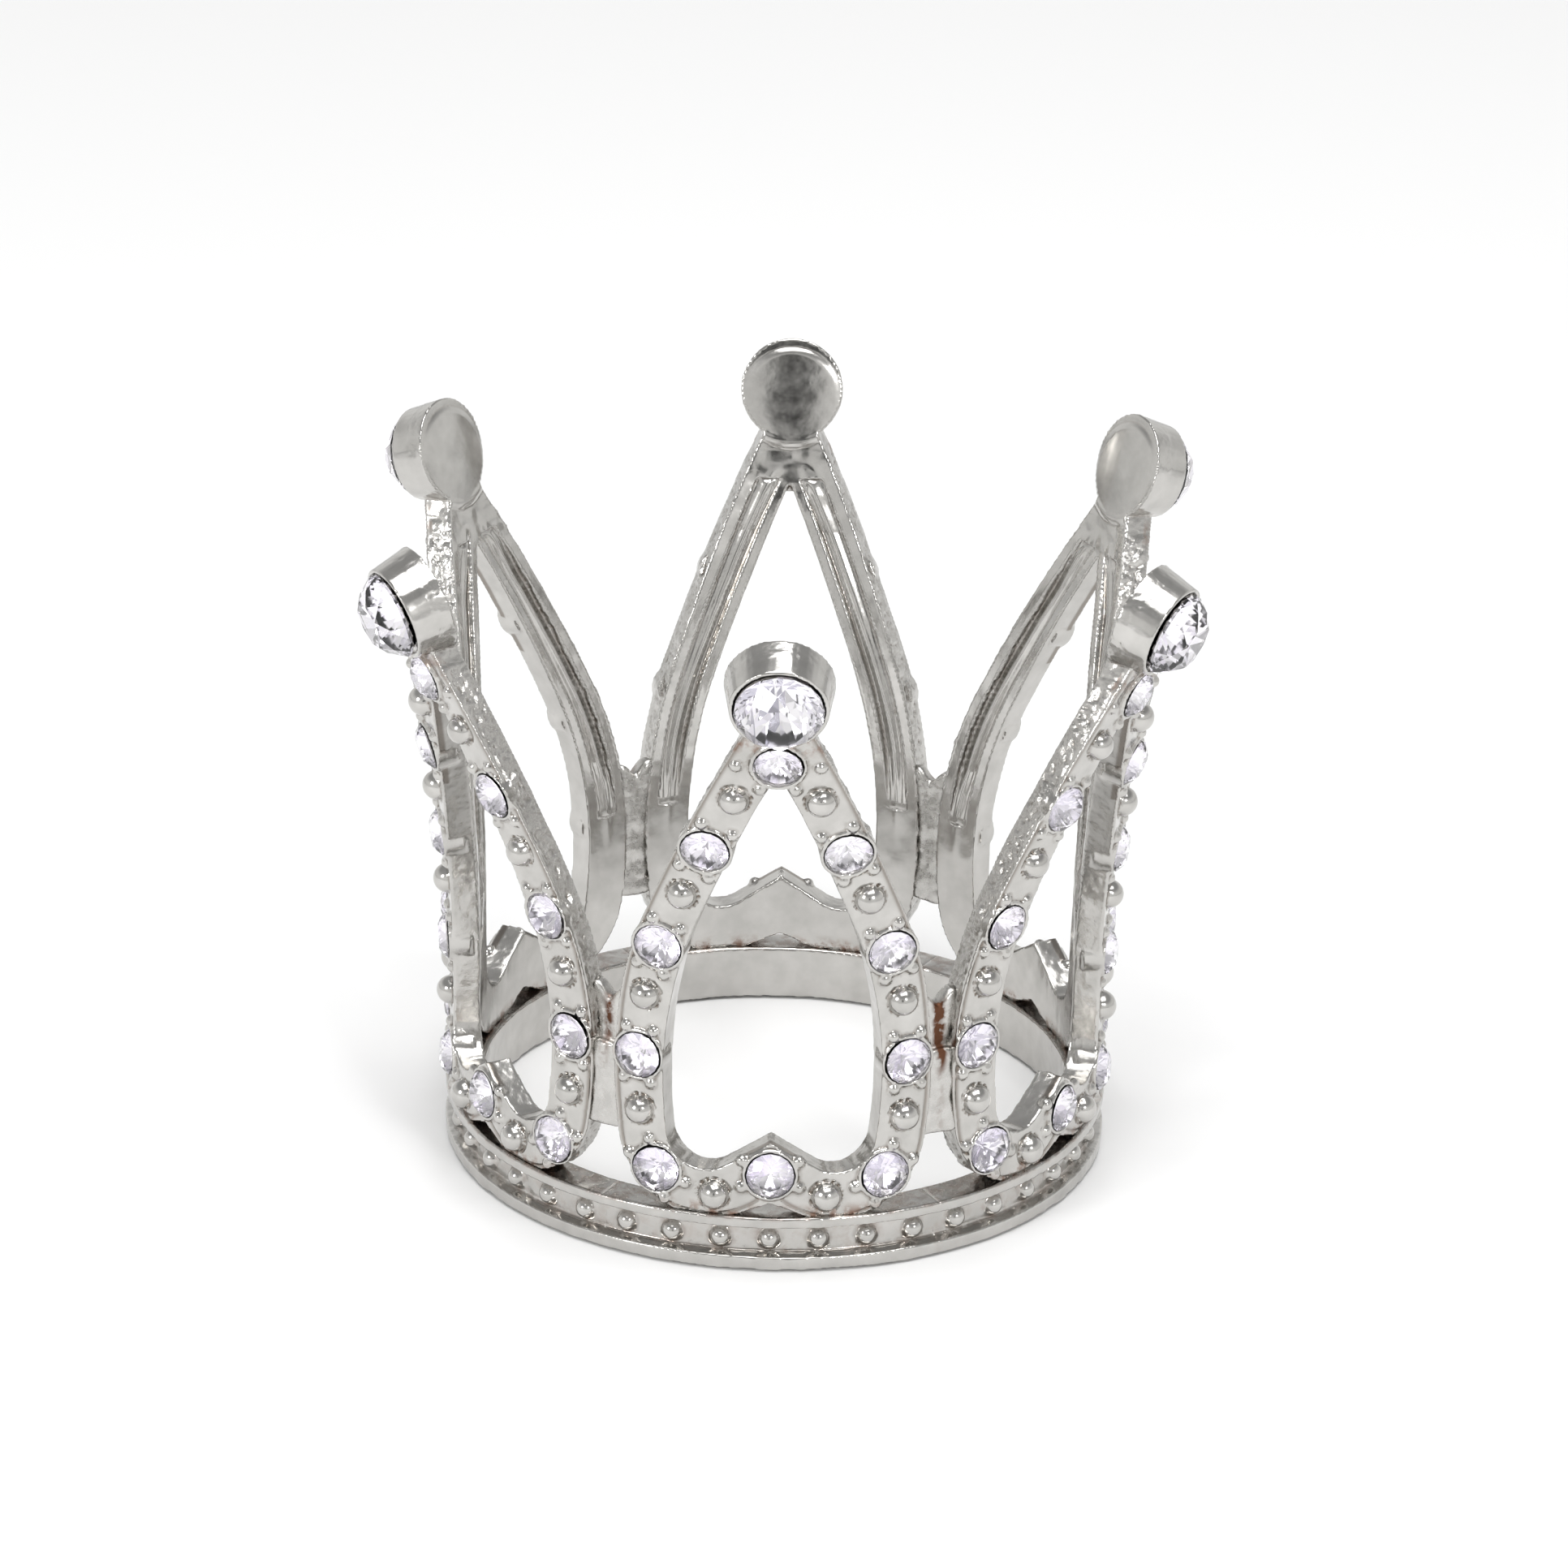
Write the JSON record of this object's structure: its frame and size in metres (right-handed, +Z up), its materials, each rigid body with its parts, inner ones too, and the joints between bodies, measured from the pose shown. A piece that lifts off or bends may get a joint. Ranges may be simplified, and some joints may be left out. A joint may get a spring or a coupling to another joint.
{
  "type": "miniature crown",
  "caption": "Small plated-metal crown of upright open hearts set with round crystals, joined side to side on a beaded ring, each tipped by a large crystal in a cup.",
  "frame": {"origin": "centre of the ring's underside", "axes": "+Z up through the crown's middle, -Y out through the front heart"},
  "size_m": [0.054, 0.0614, 0.0461],
  "materials": {
    "plated_metal": "bright cast, lightly worn",
    "crystal": "faceted, foil-backed",
    "solder": "rough, browned"
  },
  "bodies": {
    "root": {"ring_segment_1": "plated_metal", "ring_segment_2": "plated_metal", "ring_segment_3": "plated_metal", "ring_segment_4": "plated_metal", "ring_segment_5": "plated_metal", "ring_segment_6": "plated_metal", "petal_1": "plated_metal", "petal_2": "plated_metal", "petal_3": "plated_metal", "petal_4": "plated_metal", "petal_5": "plated_metal", "petal_6": "plated_metal", "stone_cup_1": "plated_metal", "stone_cup_2": "plated_metal", "stone_cup_3": "plated_metal", "stone_cup_4": "plated_metal", "stone_cup_5": "plated_metal", "stone_cup_6": "plated_metal", "large_stone_1": "crystal", "large_stone_2": "crystal", "large_stone_3": "crystal", "large_stone_4": "crystal", "large_stone_5": "crystal", "large_stone_6": "crystal", "small_stones_1": "crystal", "small_stones_2": "crystal", "small_stones_3": "crystal", "small_stones_4": "crystal", "small_stones_5": "crystal", "small_stones_6": "crystal", "side_solder_1": "solder", "side_solder_2": "solder", "side_solder_3": "solder", "side_solder_4": "solder", "side_solder_5": "solder", "side_solder_6": "solder"}
  },
  "joints": []
}
